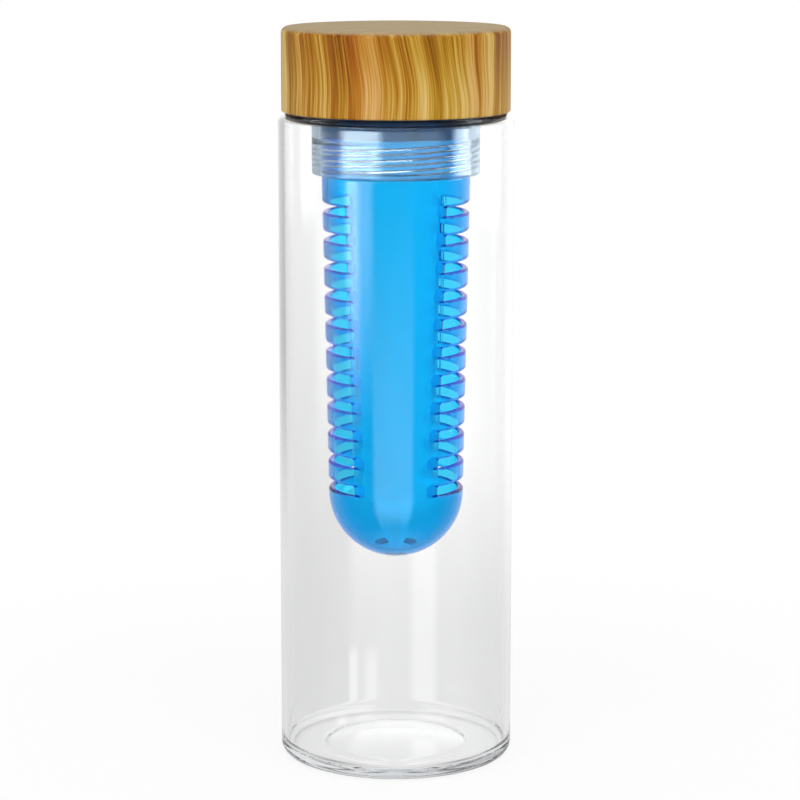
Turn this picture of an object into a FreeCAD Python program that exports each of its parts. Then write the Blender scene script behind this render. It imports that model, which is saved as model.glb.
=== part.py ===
import FreeCAD, Part
import enum
import math
import os
import re
from typing import NamedTuple

import Sketcher

# Fruit infuser water bottle: a clear bottle, a screw lid and a slotted basket hung from the lid.
# Millimetres, +Z up, with the origin at the middle of the base. The basket's slotted sides face +X and -X
# and its plain panels face the front (-Y) and the back.

# Every size name has an underscore in it, which tells it apart from a function in a formula.
SIZES = {
    # clear bottle
    "body_radius": 36.5,
    "body_height": 203.2,
    "body_wall": 2.0,
    "shoulder_wall": 2.0,
    "floor_wall": 3.0,
    "base_corner": 3.0,
    "floor_corner": 3.0,
    "shoulder_corner": 3.2,
    "shoulder_inner_corner": 1.2,
    "standing_width": 14.0,
    "pushup_depth": 3.0,
    "pushup_blend": 6.0,
    "neck_height": 14.3,
    "neck_wall": 2.2,
    "neck_root_corner": 0.8,
    "rim_corner": 0.6,
    # wood-effect shell of the lid
    "lid_step": 1.2,
    "lid_wall": 1.5,
    "lid_top_wall": 2.0,
    "lid_headroom": 5.8,
    "lid_reveal": 0.3,
    "lid_top_corner": 2.0,
    "lid_lower_corner": 0.6,
    "lid_inner_corner": 1.0,
    # dark inner part of the lid
    "liner_wall": 1.6,
    "liner_plate_wall": 2.0,
    "liner_lip_width": 1.7,
    "liner_lip_height": 4.0,
    "liner_corner": 0.4,
    "liner_rib_count": 12,
    "liner_rib_width": 1.4,
    "spigot_wall": 2.0,
    "spigot_length": 23.4,
    # sealing ring on the neck's rim
    "gasket_thickness": 2.0,
    "gasket_corner": 0.5,
    # clear collar that carries the basket
    "collar_wall": 2.7,
    "collar_length": 35.0,
    "collar_corner": 0.5,
    # blue basket
    "basket_wall": 1.9,
    "basket_length": 132.4,
    "basket_draft": 1.1,
    "basket_neck_step": 0.75,
    "basket_neck_height": 11.7,
    "basket_corner": 0.4,
    "slot_count": 11,
    "slot_height": 4.0,
    "slot_corner": 1.3,
    "slot_upper_margin": 10.1,
    "slot_lower_margin": 2.7,
    "panel_width": 24.6,
    "drain_count": 3,
    "drain_circle": 6.0,
    "drain_length": 6.0,
    "drain_width": 1.8,
    # largest share of a wall's thickness that a rounded edge takes
    "round_share": 0.4,
    # clearances
    "thread_room": 1.6,
    "collar_clearance": 0.5,
    "gasket_clearance": 0.4,
    "shoulder_clearance": 0.3,
    "basket_side_clearance": 0.35,
    "basket_rim_clearance": 0.3,
    "shell_fit": 0.1,
    "spigot_fit": 0.1,
    "seat_gap": 0.1,
}

# Places that follow from the sizes. Radii run inwards from the body to the basket, and heights run from the
# base up to the lid and then down from the lid's plate to the basket, so every piece meets its neighbour.
FOLLOWING = {
    "body_inner_radius": "body_radius - body_wall",
    "shoulder_underside": "body_height - shoulder_wall",
    "pushup_radius": "body_radius - standing_width",
    "pushup_sphere": "(pushup_radius ^ 2 + pushup_depth ^ 2) / (2 * pushup_depth)",
    "lid_radius": "body_radius - lid_step",
    "lid_inner_radius": "lid_radius - lid_wall",
    "lip_radius": "lid_inner_radius - shell_fit",
    "liner_outer_radius": "lip_radius - liner_lip_width",
    "liner_inner_radius": "liner_outer_radius - liner_wall",
    "neck_radius": "liner_inner_radius - thread_room",
    "neck_bore": "neck_radius - neck_wall",
    "collar_radius": "neck_bore - collar_clearance",
    "collar_bore": "collar_radius - collar_wall",
    "spigot_radius": "collar_bore - spigot_fit",
    "spigot_bore": "spigot_radius - spigot_wall",
    "gasket_inner_radius": "collar_radius + gasket_clearance",
    "gasket_outer_radius": "liner_inner_radius - gasket_clearance",
    "basket_radius": "collar_bore - basket_side_clearance",
    "basket_neck_radius": "basket_radius - basket_neck_step",
    "basket_bore": "basket_radius - basket_wall / cos(basket_draft)",
    "rim_level": "body_height + neck_height",
    "gasket_low": "rim_level + seat_gap",
    "gasket_high": "gasket_low + gasket_thickness",
    "plate_low": "gasket_high + seat_gap",
    "plate_high": "plate_low + liner_plate_wall",
    "lip_low": "body_height + shoulder_clearance",
    "lip_high": "lip_low + liner_lip_height",
    "lid_low": "body_height + lid_reveal",
    "lid_underside": "plate_high + lid_headroom",
    "lid_high": "lid_underside + lid_top_wall",
    "collar_high": "plate_low - seat_gap",
    "collar_low": "collar_high - collar_length",
    "spigot_low": "plate_low - spigot_length",
    "basket_rim": "spigot_low - basket_rim_clearance",
    "basket_shoulder": "basket_rim - basket_neck_height",
    "basket_bottom": "basket_rim - basket_length",
    "basket_end_radius": "basket_radius - (basket_shoulder - basket_bottom) * tan(basket_draft)",
    "dome_radius": "basket_end_radius * cos(basket_draft) / (1 - sin(basket_draft))",
    "dome_inner_radius": "dome_radius - basket_wall",
    "dome_level": "basket_bottom + dome_radius",
    "slot_half_width": "sqrt(dome_radius ^ 2 - (panel_width / 2) ^ 2)",
    "slot_first_level": "basket_shoulder - slot_upper_margin",
    "slot_last_level": "dome_level + slot_lower_margin",
    "slot_pitch": "(slot_first_level - slot_last_level) / (slot_count - 1)",
    "slot_low": "slot_first_level - slot_height / 2",
    "slot_high": "slot_first_level + slot_height / 2",
    "slot_bend": "min(slot_corner; round_share * slot_height)",
    "drain_inner_radius": "drain_circle - drain_width / 2",
    "drain_outer_radius": "drain_circle + drain_width / 2",
    "drain_half_angle": "drain_length / drain_circle / 2 * 180 / pi",
}

RING_TOLERANCE = 1e-4
VOLUME_TOLERANCE = 1e-3


class LineEnd(enum.IntEnum):
    """The numbers that a sketch gives to the two ends of a line or an arc."""

    START = enum.auto()
    END = enum.auto()


class Corner(NamedTuple):
    """A corner of an outline, placed by formulas. With a radius, an arc runs from it to the next corner."""

    across: str
    up: str
    radius: str = ""
    clockwise: bool = False


doc = FreeCAD.newDocument("InfuserBottle")
sheet = doc.addObject("Spreadsheet::Sheet", "Sizes")


def fill_sheet():
    """Write each size as a plain number and each following place as a formula, with its name as alias."""
    rows = [(name, str(value)) for name, value in SIZES.items()]
    rows += [(name, "=" + formula) for name, formula in FOLLOWING.items()]
    for row, (name, content) in enumerate(rows, start=1):
        sheet.set(f"A{row}", name)
        sheet.setAlias(f"B{row}", name)
        sheet.set(f"B{row}", content)
    doc.recompute()


def on_sheet(formula):
    """Name the sheet in front of each size of a formula."""
    return re.sub(r"[a-z]+(?:_[a-z]+)+", r"Sizes.\g<0>", formula)


def measure(formula):
    """Work a formula out with the sheet's present sizes."""
    return float(sheet.evalExpression(formula))


def origin_feature(body, role):
    """Find one of a body's own planes or axes."""
    return next(feature for feature in body.Origin.OriginFeatures if feature.Role == role)


def new_body(label):
    """Start a sub-part of its own, standing in the bottle's frame."""
    body = doc.addObject("PartDesign::Body", label)
    body.Label = label
    body.Placement = FreeCAD.Placement()
    return body


def arc_between(start, end, radius, clockwise):
    """Make the shorter arc of a radius that runs from start to end, turning the given way."""
    if clockwise:
        start, end = end, start
    chord = end - start
    rise = math.sqrt(max(radius ** 2 - (chord.Length / 2) ** 2, 0))
    centre = (start + end) / 2 + FreeCAD.Vector(-chord.y, chord.x, 0).normalize() * rise
    angles = [math.atan2(point.y - centre.y, point.x - centre.x) for point in (start, end)]
    return Part.ArcOfCircle(Part.Circle(centre, FreeCAD.Vector(0, 0, 1), radius), *angles)


def add_size(sketch, name, formula, kind, *elements):
    """Add a measured constraint to a sketch and bind it to the sheet."""
    index = sketch.addConstraint(Sketcher.Constraint(kind, *elements, measure(formula)))
    sketch.renameConstraint(index, name)
    sketch.setExpression(f"Constraints.{name}", on_sheet(formula))


def draw_outline(body, name, plane, corners):
    """Draw a closed outline through its corners, placed from the origin of one of a body's own planes."""
    sketch = body.newObject("Sketcher::SketchObject", name)
    sketch.AttachmentSupport = [(origin_feature(body, plane), "")]
    sketch.MapMode = "FlatFace"
    points = [FreeCAD.Vector(measure(corner.across), measure(corner.up), 0) for corner in corners]
    for corner, start, end in zip(corners, points, points[1:] + points[:1]):
        if corner.radius:
            sketch.addGeometry(arc_between(start, end, measure(corner.radius), corner.clockwise))
        else:
            sketch.addGeometry(Part.LineSegment(start, end))
    firsts = [LineEnd.END if corner.clockwise else LineEnd.START for corner in corners]
    lasts = [LineEnd.START if corner.clockwise else LineEnd.END for corner in corners]
    origin = (-1, LineEnd.START)
    for index, corner in enumerate(corners):
        following = (index + 1) % len(corners)
        sketch.addConstraint(
            Sketcher.Constraint("Coincident", index, lasts[index], following, firsts[following]))
        add_size(sketch, f"across{index}", corner.across, "DistanceX", *origin, index, firsts[index])
        add_size(sketch, f"up{index}", corner.up, "DistanceY", *origin, index, firsts[index])
        if corner.radius:
            add_size(sketch, f"bend{index}", corner.radius, "Radius", index)
    doc.recompute()
    return sketch


def turn_profile(body, name, corners):
    """Turn a closed (radius, height) outline once about the bottle's axis."""
    sketch = draw_outline(body, name + "_profile", "XZ_Plane", corners)
    revolution = body.newObject("PartDesign::Revolution", name)
    revolution.Profile = sketch
    revolution.ReferenceAxis = (sketch, ["V_Axis"])
    revolution.Angle = 360
    doc.recompute()


def is_ring(edge, radius, height):
    """Tell whether an edge is the circle of a radius about the bottle's axis at a height."""
    if edge.Degenerated or not isinstance(edge.Curve, Part.Circle):
        return False
    centre = edge.Curve.Center
    offsets = (edge.Curve.Radius - radius, centre.z - height, centre.x, centre.y)
    return all(abs(offset) < RING_TOLERANCE for offset in offsets)


def round_rings(body, name, size, rings):
    """Round the circular edges that stand at the given (radius, height) formulas."""
    tip = body.Tip
    wanted = [(measure(radius), measure(height)) for radius, height in rings]
    edges = [f"Edge{number}" for number, edge in enumerate(tip.Shape.Edges, start=1)
             if any(is_ring(edge, *ring) for ring in wanted)]
    if len(edges) != len(rings):
        raise RuntimeError(f"{body.Label}: {name} found {len(edges)} edges of {len(rings)}")
    fillet = body.newObject("PartDesign::Fillet", name)
    fillet.Base = (tip, edges)
    fillet.setExpression("Radius", on_sheet(size))
    doc.recompute()


def require_change(body, before, name, sign):
    """Stop if a feature left the body's volume as it was, or changed it the wrong way."""
    change = body.Shape.Volume - before
    if change * sign < VOLUME_TOLERANCE:
        raise RuntimeError(f"{body.Label}: {name} changed the volume by {change:.4f}")


def make_bottle_body():
    """The clear bottle: straight wall, rounded shoulder, plain neck and a pushed-up base."""
    body = new_body("bottle_body")
    turn_profile(body, "bottle_wall", [
        Corner("0", "pushup_depth", "pushup_sphere", clockwise=True),
        Corner("pushup_radius", "0"),
        Corner("body_radius", "0"),
        Corner("body_radius", "body_height"),
        Corner("neck_radius", "body_height"),
        Corner("neck_radius", "rim_level"),
        Corner("neck_bore", "rim_level"),
        Corner("neck_bore", "shoulder_underside"),
        Corner("body_inner_radius", "shoulder_underside"),
        Corner("body_inner_radius", "floor_wall"),
        Corner("pushup_radius", "floor_wall", "pushup_sphere"),
        Corner("0", "pushup_depth + floor_wall"),
    ])
    round_rings(body, "base_round", "base_corner", [("body_radius", "0")])
    round_rings(body, "shoulder_round", "shoulder_corner", [("body_radius", "body_height")])
    round_rings(body, "floor_round", "floor_corner", [("body_inner_radius", "floor_wall")])
    round_rings(body, "shoulder_inner_round", "shoulder_inner_corner",
                [("body_inner_radius", "shoulder_underside")])
    round_rings(body, "pushup_round", "pushup_blend",
                [("pushup_radius", "0"), ("pushup_radius", "floor_wall")])
    round_rings(body, "neck_root_round", "neck_root_corner", [("neck_radius", "body_height")])
    round_rings(body, "rim_round", "min(rim_corner; round_share * neck_wall)",
                [("neck_radius", "rim_level"), ("neck_bore", "rim_level")])
    return body


def make_lid_shell():
    """The wood-effect cup of the lid, open below."""
    body = new_body("lid_shell")
    turn_profile(body, "shell_wall", [
        Corner("0", "lid_high"),
        Corner("lid_radius", "lid_high"),
        Corner("lid_radius", "lid_low"),
        Corner("lid_inner_radius", "lid_low"),
        Corner("lid_inner_radius", "lid_underside"),
        Corner("0", "lid_underside"),
    ])
    round_rings(body, "top_round", "lid_top_corner", [("lid_radius", "lid_high")])
    round_rings(body, "lower_round", "min(lid_lower_corner; round_share * lid_wall)",
                [("lid_radius", "lid_low")])
    round_rings(body, "inner_round", "lid_inner_corner", [("lid_inner_radius", "lid_underside")])
    return body


def make_lid_liner():
    """The dark inner part: closing plate, threaded skirt with its lip, ribs, and the collar's spigot."""
    body = new_body("lid_liner")
    turn_profile(body, "liner_wall_turn", [
        Corner("0", "plate_high"),
        Corner("liner_outer_radius", "plate_high"),
        Corner("liner_outer_radius", "lip_high"),
        Corner("lip_radius", "lip_high"),
        Corner("lip_radius", "lip_low"),
        Corner("liner_inner_radius", "lip_low"),
        Corner("liner_inner_radius", "plate_low"),
        Corner("spigot_radius", "plate_low"),
        Corner("spigot_radius", "spigot_low"),
        Corner("spigot_bore", "spigot_low"),
        Corner("spigot_bore", "plate_low"),
        Corner("0", "plate_low"),
    ])
    round_rings(body, "liner_round", "liner_corner",
                [("lip_radius", "lip_low"), ("spigot_radius", "spigot_low"), ("spigot_bore", "spigot_low")])
    return add_liner_ribs(body)


def add_liner_ribs(body):
    """Stand ribs round the skirt, between the lip and the plate, which centre the shell on the liner."""
    rib_root = "liner_outer_radius - liner_wall / 2"
    sketch = draw_outline(body, "rib_outline", "XY_Plane", [
        Corner(rib_root, "-liner_rib_width / 2"),
        Corner("lip_radius", "-liner_rib_width / 2"),
        Corner("lip_radius", "liner_rib_width / 2"),
        Corner(rib_root, "liner_rib_width / 2"),
    ])
    sketch.setExpression("AttachmentOffset.Base.z", on_sheet("lip_high"))
    before = body.Shape.Volume
    rib = body.newObject("PartDesign::Pad", "rib")
    rib.Profile = sketch
    rib.setExpression("Length", on_sheet("plate_high - lip_high"))
    doc.recompute()
    require_change(body, before, "rib", 1)
    repeat_round(body, "ribs", rib, "liner_rib_count")
    return body


def repeat_round(body, name, feature, count):
    """Repeat a feature evenly about the bottle's axis."""
    before = body.Shape.Volume
    sign = 1 if feature.isDerivedFrom("PartDesign::Pad") else -1
    pattern = body.newObject("PartDesign::PolarPattern", name)
    pattern.Originals = [feature]
    pattern.Axis = (origin_feature(body, "Z_Axis"), [""])
    pattern.Angle = 360
    pattern.setExpression("Occurrences", on_sheet(count))
    body.Tip = pattern
    doc.recompute()
    require_change(body, before, name, sign)


def make_mouth_gasket():
    """The sealing ring between the neck's rim and the lid's plate."""
    body = new_body("mouth_gasket")
    turn_profile(body, "gasket_ring", [
        Corner("gasket_inner_radius", "gasket_low"),
        Corner("gasket_outer_radius", "gasket_low"),
        Corner("gasket_outer_radius", "gasket_high"),
        Corner("gasket_inner_radius", "gasket_high"),
    ])
    round_rings(body, "gasket_round", "min(gasket_corner; round_share * gasket_thickness)",
                [(radius, height) for radius in ("gasket_inner_radius", "gasket_outer_radius")
                 for height in ("gasket_low", "gasket_high")])
    return body


def make_infuser_collar():
    """The clear tube on the lid's spigot, which takes the basket's neck."""
    body = new_body("infuser_collar")
    turn_profile(body, "collar_tube", [
        Corner("collar_bore", "collar_low"),
        Corner("collar_radius", "collar_low"),
        Corner("collar_radius", "collar_high"),
        Corner("collar_bore", "collar_high"),
    ])
    round_rings(body, "collar_round", "collar_corner",
                [("collar_bore", "collar_low"), ("collar_radius", "collar_low")])
    return body


def make_infuser_basket():
    """The blue basket: neck, tapered wall and round end, slotted on both sides and drained below."""
    body = new_body("infuser_basket")
    turn_profile(body, "basket_wall_turn", [
        Corner("0", "basket_bottom", "dome_radius"),
        Corner("dome_radius * cos(basket_draft)", "dome_level - dome_radius * sin(basket_draft)"),
        Corner("basket_radius", "basket_shoulder"),
        Corner("basket_neck_radius", "basket_shoulder"),
        Corner("basket_neck_radius", "basket_rim"),
        Corner("basket_bore", "basket_rim"),
        Corner("basket_bore", "basket_shoulder"),
        Corner("dome_inner_radius * cos(basket_draft)", "dome_level - dome_inner_radius * sin(basket_draft)",
               "dome_inner_radius", clockwise=True),
        Corner("0", "basket_bottom + basket_wall"),
    ])
    round_rings(body, "basket_round", "min(basket_corner; round_share * (basket_neck_radius - basket_bore))",
                [("basket_radius", "basket_shoulder"), ("basket_neck_radius", "basket_rim"),
                 ("basket_bore", "basket_rim")])
    cut_slots(body)
    cut_drains(body)
    return body


def cut_slots(body):
    """Cut the rows of rounded slots straight across the basket, through both of its sides."""
    near_end, far_end = "slot_half_width - slot_bend", "slot_half_width"
    sketch = draw_outline(body, "slot_outline", "YZ_Plane", [
        Corner(f"-({near_end})", "slot_low"),
        Corner(near_end, "slot_low", "slot_bend"),
        Corner(far_end, "slot_low + slot_bend"),
        Corner(far_end, "slot_high - slot_bend", "slot_bend"),
        Corner(near_end, "slot_high"),
        Corner(f"-({near_end})", "slot_high", "slot_bend"),
        Corner(f"-{far_end}", "slot_high - slot_bend"),
        Corner(f"-{far_end}", "slot_low + slot_bend", "slot_bend"),
    ])
    before = body.Shape.Volume
    slot = body.newObject("PartDesign::Pocket", "slot")
    slot.Profile = sketch
    slot.SideType = "Symmetric"
    slot.setExpression("Length", on_sheet("2 * body_radius"))
    doc.recompute()
    require_change(body, before, "slot", -1)
    before = body.Shape.Volume
    row = body.newObject("PartDesign::LinearPattern", "slot_row")
    row.Originals = [slot]
    row.Direction = (origin_feature(body, "Z_Axis"), [""])
    row.Reversed = True
    row.Mode = "Spacing"
    row.setExpression("Offset", on_sheet("slot_pitch"))
    row.setExpression("Occurrences", on_sheet("slot_count"))
    body.Tip = row
    doc.recompute()
    require_change(body, before, "slot_row", -1)


def cut_drains(body):
    """Cut the short curved drain slots round the lowest point of the basket, one of them at the front."""
    outer_across = "drain_outer_radius * sin(drain_half_angle)"
    outer_up = "drain_outer_radius * cos(drain_half_angle)"
    inner_across = "drain_inner_radius * sin(drain_half_angle)"
    inner_up = "drain_inner_radius * cos(drain_half_angle)"
    sketch = draw_outline(body, "drain_outline", "XY_Plane", [
        Corner(f"-{outer_across}", f"-{outer_up}", "drain_outer_radius"),
        Corner(outer_across, f"-{outer_up}"),
        Corner(inner_across, f"-{inner_up}", "drain_inner_radius", clockwise=True),
        Corner(f"-{inner_across}", f"-{inner_up}"),
    ])
    before = body.Shape.Volume
    drain = body.newObject("PartDesign::Pocket", "drain")
    drain.Profile = sketch
    drain.Type = "ThroughAll"
    drain.Reversed = True
    doc.recompute()
    require_change(body, before, "drain", -1)
    repeat_round(body, "drains", drain, "drain_count")


def check_document(bodies):
    """Stop if any object of the document failed, or if a sub-part isn't one valid solid."""
    for item in doc.Objects:
        if {"Invalid", "Error"} & set(item.State):
            raise RuntimeError(f"{item.Label} failed: {item.State}")
    for body in bodies:
        shape = body.Shape
        if shape.isNull() or not shape.isValid() or len(shape.Solids) != 1:
            raise RuntimeError(f"{body.Label} isn't one valid solid")


def write_parts(bodies):
    """Write each sub-part to a file named after its label."""
    os.makedirs("parts", exist_ok=True)
    for body in bodies:
        body.Shape.exportStep(f"parts/{body.Label}.step")
        box = body.Shape.BoundBox
        print(f"{body.Label}: {body.Shape.Volume / 1000:.2f} cm3, z {box.ZMin:.2f} to {box.ZMax:.2f}")


fill_sheet()
sub_parts = [
    make_bottle_body(),
    make_lid_shell(),
    make_lid_liner(),
    make_mouth_gasket(),
    make_infuser_collar(),
    make_infuser_basket(),
]
doc.recompute()
check_document(sub_parts)
write_parts(sub_parts)
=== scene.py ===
"""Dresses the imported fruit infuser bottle: its meshes, its finishes, the studio and the camera.

Sizes are millimetres in the classes below, and become metres where a mesh is made.
"""

import logging
import math
from dataclasses import dataclass
from enum import Enum
from typing import Any, Callable, Mapping, NamedTuple, Optional, Sequence, Union

import bmesh
import bpy
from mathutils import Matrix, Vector


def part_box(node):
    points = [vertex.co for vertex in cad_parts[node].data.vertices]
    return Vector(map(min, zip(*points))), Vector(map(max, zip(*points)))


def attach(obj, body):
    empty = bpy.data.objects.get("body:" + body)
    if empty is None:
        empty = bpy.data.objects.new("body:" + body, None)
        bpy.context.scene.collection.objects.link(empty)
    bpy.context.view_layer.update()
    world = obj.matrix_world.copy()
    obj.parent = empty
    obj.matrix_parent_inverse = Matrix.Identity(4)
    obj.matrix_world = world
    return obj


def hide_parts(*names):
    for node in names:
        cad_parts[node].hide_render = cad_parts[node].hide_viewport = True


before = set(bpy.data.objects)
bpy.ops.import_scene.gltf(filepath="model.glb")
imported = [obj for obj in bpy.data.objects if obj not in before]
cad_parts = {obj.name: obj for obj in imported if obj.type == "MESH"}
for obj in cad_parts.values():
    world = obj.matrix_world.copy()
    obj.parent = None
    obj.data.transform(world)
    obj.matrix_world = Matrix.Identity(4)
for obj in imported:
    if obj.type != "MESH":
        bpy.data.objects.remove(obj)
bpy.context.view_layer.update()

LOG = logging.getLogger("infuser_bottle")
MM = 0.001
SEGMENTS = 192
ARC_STEP = math.radians(9)
SUPPORT = 0.25
SHARP_ANGLE = math.radians(17)
WALL_TOLERANCE = 0.02
CUT_MARK = "cut_face"
INNER_MARK = "inner_face"
DRAIN_MARK = "drain_face"
THREAD_STEP = 0.16
THREAD_RUNOUT = 0.22
THREAD_FLANK = (0.22, 0.66)
NECK_PHASE = 0.0
LID_PHASE = 0.5
ROW_MARGIN = 0.33
STEEP_FACE = 0.5
DRAIN_REACH = 1.5
DRAIN_CHORDS = 12

Colour = tuple[float, float, float]
Point = tuple[float, float]
Scalar = Union["Link", float]


class Thread(Enum):
    """Which way a screw thread stands off its wall."""

    OUTSIDE = 1.0
    INSIDE = -1.0


def link_operator(operation: str, swapped: bool = False) -> Callable[["Link", Scalar], "Link"]:
    """Make one of a link's operators.

    Args:
        operation: The Math node's operation.
        swapped: Whether the link is the second of the two values.

    Returns:
        A method that adds the Math node to the link's graph.
    """
    def operate(link: "Link", other: Scalar) -> "Link":
        """Add a Math node on the link and another value."""
        return link.graph.math(operation, *((other, link) if swapped else (link, other)))

    return operate


class Link:
    """A node's output, whose arithmetic adds Math nodes to its graph."""

    def __init__(self, graph: "NodeGraph", socket: bpy.types.NodeSocket) -> None:
        """Hold a socket and the graph that it is in."""
        self.graph = graph
        self.socket = socket

    __add__ = link_operator("ADD")
    __radd__ = link_operator("ADD", swapped=True)
    __sub__ = link_operator("SUBTRACT")
    __rsub__ = link_operator("SUBTRACT", swapped=True)
    __mul__ = link_operator("MULTIPLY")
    __rmul__ = link_operator("MULTIPLY", swapped=True)
    __truediv__ = link_operator("DIVIDE")
    __rtruediv__ = link_operator("DIVIDE", swapped=True)
    __lt__ = link_operator("LESS_THAN")
    __gt__ = link_operator("GREATER_THAN")

    def __abs__(self) -> "Link":
        """Drop the sign."""
        return self.graph.math("ABSOLUTE", self)

    def out(self, name: str) -> "Link":
        """Give another output of the same node."""
        return Link(self.graph, self.graph.find(self.socket.node.outputs, name))


class NodeGraph:
    """A node tree that is written in Python, one node a call."""

    def __init__(self, tree: bpy.types.NodeTree) -> None:
        """Take a tree and empty it."""
        self.tree = tree
        tree.nodes.clear()

    @staticmethod
    def find(sockets: Sequence[bpy.types.NodeSocket], key: Union[str, int]) -> bpy.types.NodeSocket:
        """Find a socket that is in use.

        Args:
            sockets: A node's inputs or outputs.
            key: The socket's place, identifier or name.

        Returns:
            The socket.
        """
        if isinstance(key, int):
            return sockets[key]
        return next(socket for socket in sockets
                    if not socket.is_unavailable and key in (socket.identifier, socket.name))

    def node(self, kind: str, settings: Optional[Mapping[str, Any]] = None,
             inputs: Optional[Mapping[Union[str, int], Any]] = None) -> Optional[Link]:
        """Add one node.

        Args:
            kind: The node's type.
            settings: Its properties, set first. "stops" are a colour ramp's (place, colour) pairs.
            inputs: Values or links by socket. A list holds the links of a socket that takes several.

        Returns:
            The node's first output, if it has one.
        """
        made = self.tree.nodes.new(kind)
        for name, value in (settings or {}).items():
            if name == "stops":
                self._set_stops(made.color_ramp, value)
            else:
                setattr(made, name, value)
        for key, value in (inputs or {}).items():
            socket = self.find(made.inputs, key)
            for item in value if isinstance(value, list) else [value]:
                if isinstance(item, Link):
                    self.tree.links.new(item.socket, socket)
                else:
                    socket.default_value = item
        return Link(self, made.outputs[0]) if made.outputs else None

    @staticmethod
    def _set_stops(ramp: bpy.types.ColorRamp, stops: Sequence[tuple[float, Colour]]) -> None:
        """Give a colour ramp its stops.

        Args:
            ramp: The ramp.
            stops: Each stop's place and colour, in order.
        """
        while len(ramp.elements) < len(stops):
            ramp.elements.new(1.0)
        for element, (place, colour) in zip(ramp.elements, stops):
            element.position = place
            element.color = (*colour, 1.0)

    def math(self, operation: str, *values: Scalar) -> Link:
        """Add a Math node on numbers and links."""
        return self.node("ShaderNodeMath", {"operation": operation}, dict(enumerate(values)))

    def vector(self, across: Scalar = 0.0, along: Scalar = 0.0, up: Scalar = 0.0) -> Link:
        """Join three numbers or links into a vector."""
        return self.node("ShaderNodeCombineXYZ", None, {"X": across, "Y": along, "Z": up})

    def smooth(self, value: Link, low: Scalar, high: Scalar) -> Link:
        """Rise smoothly from 0 at low to 1 at high."""
        return self.node("ShaderNodeMapRange", {"interpolation_type": "SMOOTHSTEP"},
                         {"Value": value, "From Min": low, "From Max": high})


class ShaderGraph(NodeGraph):
    """A material's nodes."""

    def __init__(self, name: str) -> None:
        """Start a material that reads its object's coordinates."""
        self.material = bpy.data.materials.new(name)
        self.material.use_nodes = True
        super().__init__(self.material.node_tree)
        self.place = self.node("ShaderNodeTexCoord").out("Object")

    def stretched(self, scale: Colour, vector: Optional[Link] = None, turn: Colour = (0, 0, 0)) -> Link:
        """Give the object's coordinates, or another vector, stretched and turned."""
        return self.node("ShaderNodeMapping", {"vector_type": "POINT"},
                         {"Vector": vector or self.place, "Scale": scale, "Rotation": turn})

    def noise(self, vector: Link, scale: float, detail: float = 3.0, roughness: float = 0.5,
              distortion: float = 0.0) -> Link:
        """Add a noise texture."""
        return self.node("ShaderNodeTexNoise", None, {
            "Vector": vector, "Scale": scale, "Detail": detail, "Roughness": roughness,
            "Distortion": distortion})

    def blended(self, factor: Scalar, first: Any, second: Any) -> Link:
        """Mix two colours.

        Args:
            factor: The share of the second colour.
            first: A colour of three numbers, or a link.
            second: A colour of three numbers, or a link.

        Returns:
            The mixed colour.
        """
        mixed = self.node("ShaderNodeMix", {"data_type": "RGBA"}, {
            "Factor": factor,
            "A": first if isinstance(first, Link) else (*first, 1.0),
            "B": second if isinstance(second, Link) else (*second, 1.0)})
        return mixed.out("Result_Color")

    def bumped(self, height: Link, distance: float, strength: float = 1.0) -> Link:
        """Turn a height into a normal. The distance is in millimetres."""
        return self.node("ShaderNodeBump", None, {
            "Strength": strength, "Distance": distance * MM, "Height": height})

    def close(self, sockets: Mapping[str, Any], volume: Optional[Link] = None,
              painted_skin: Optional[tuple[Link, Colour]] = None) -> bpy.types.Material:
        """Add the surface shader and the output.

        Args:
            sockets: What the Principled shader's sockets hold.
            volume: What fills the inside, if anything does.
            painted_skin: The share and the colour of a dull skin painted over the surface, which stands in
                for light, if it has one.

        Returns:
            The finished material.
        """
        surface = self.node("ShaderNodeBsdfPrincipled", None, sockets)
        if painted_skin:
            dull = self.node("ShaderNodeBsdfDiffuse", None, {"Color": (*painted_skin[1], 1.0)})
            surface = self.node("ShaderNodeMixShader", None, {0: painted_skin[0], 1: surface, 2: dull})
        ends = {"Surface": surface} if volume is None else {"Surface": surface, "Volume": volume}
        self.node("ShaderNodeOutputMaterial", None, ends)
        return self.material


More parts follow.
